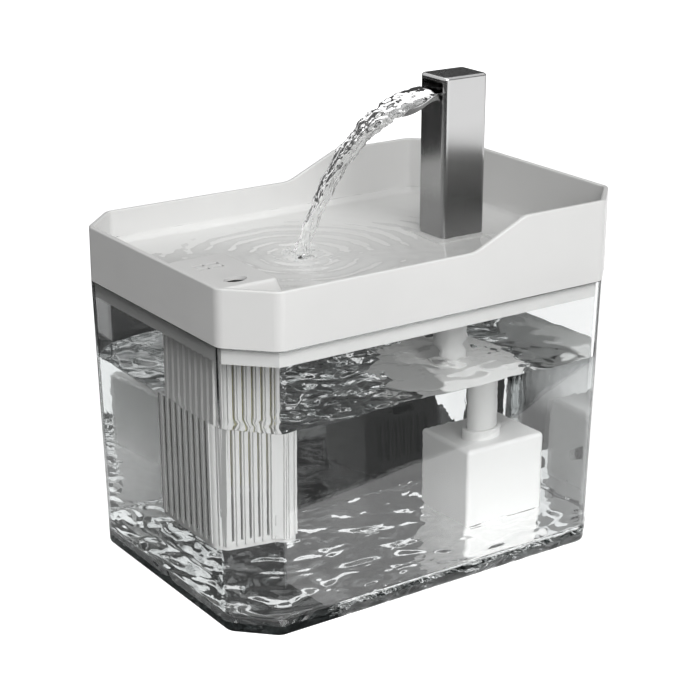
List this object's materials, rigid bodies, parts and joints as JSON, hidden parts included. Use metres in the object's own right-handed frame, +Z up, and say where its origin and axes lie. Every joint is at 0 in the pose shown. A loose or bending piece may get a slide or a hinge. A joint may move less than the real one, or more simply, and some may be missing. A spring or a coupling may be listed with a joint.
{
  "type": "pet water fountain",
  "caption": "Clear tapered water tank with a white drinking tray on top, a square steel faucet, a submerged pump and a ribbed filter basket under a drain cap.",
  "frame": {"origin": "middle of the tank's bottom face, on the surface it stands on", "axes": "+Z up; -Y is the drinking side, where the spout points and the rim is low; +X is the side with the drain"},
  "size_m": [0.1568, 0.22, 0.228],
  "materials": {
    "clear_tank": "clear moulded, slightly smoky",
    "white_plastic": "satin white moulded",
    "brushed_steel": "fine vertical brush",
    "black_plastic": "fine matt",
    "dark_rubber": "matt",
    "clear_silicone": "translucent",
    "yellow_sponge": "open-cell foam",
    "grey_sponge": "open-cell foam",
    "carbon_sachet": "non-woven over granules",
    "lamination": "stacked sheet",
    "winding": "enamelled wire",
    "potting": "cast resin",
    "magnet": "sintered",
    "ceramic": "polished"
  },
  "bodies": {
    "tank": {"tank": "clear_tank", "cable_grommet": "dark_rubber", "pump_housing": "white_plastic", "volute_cover": "white_plastic", "front_bush": "dark_rubber", "rear_bush": "dark_rubber", "impeller_shaft": "ceramic", "prefilter_sponge": "grey_sponge", "stator_core": "lamination", "stator_coil": "winding", "potting_cover": "potting", "suction_cups": "clear_silicone", "outlet_tube": "white_plastic", "cable_gland": "dark_rubber"},
    "tray": {"drinking_tray": "white_plastic"},
    "faucet": {"faucet_column": "brushed_steel", "spout_lip": "brushed_steel", "spout_insert": "black_plastic", "riser_tube": "clear_silicone", "column_plug": "white_plastic", "column_seal": "clear_silicone"},
    "basket": {"filter_basket": "white_plastic", "filter_sponge": "yellow_sponge", "carbon_pack": "carbon_sachet", "media_grid": "white_plastic"},
    "cap": {"drain_cap": "white_plastic"},
    "pump_cover": {"intake_cover": "white_plastic"},
    "flow_control": {"flow_slider": "black_plastic"},
    "impeller": {"impeller": "white_plastic", "rotor_magnet": "magnet"}
  },
  "joints": [
    {"name": "tray_lift", "type": "slide", "parent": "tank", "child": "tray", "axis": [0, 0, 1], "range_m": [0, 0.15]},
    {"name": "faucet_pull", "type": "slide", "parent": "tray", "child": "faucet", "axis": [0, 0, 1], "range_m": [0, 0.09]},
    {"name": "basket_lift", "type": "slide", "parent": "tray", "child": "basket", "axis": [0, 0, 1], "range_m": [0, 0.15]},
    {"name": "cap_lift", "type": "slide", "parent": "basket", "child": "cap", "axis": [0, 0, 1], "range_m": [0, 0.05]},
    {"name": "cover_pull", "type": "slide", "parent": "tank", "child": "pump_cover", "axis": [-1, 0, 0], "range_m": [0, 0.03]},
    {"name": "flow_adjust", "type": "slide", "parent": "pump_cover", "child": "flow_control", "axis": [0, 1, 0], "range_m": [-0.0027, 0.0027]},
    {"name": "impeller_spin", "type": "hinge", "parent": "tank", "child": "impeller", "pos_m": [-0.004, 0.065, 0.0309], "axis": [1, 0, 0], "continuous": true}
  ]
}
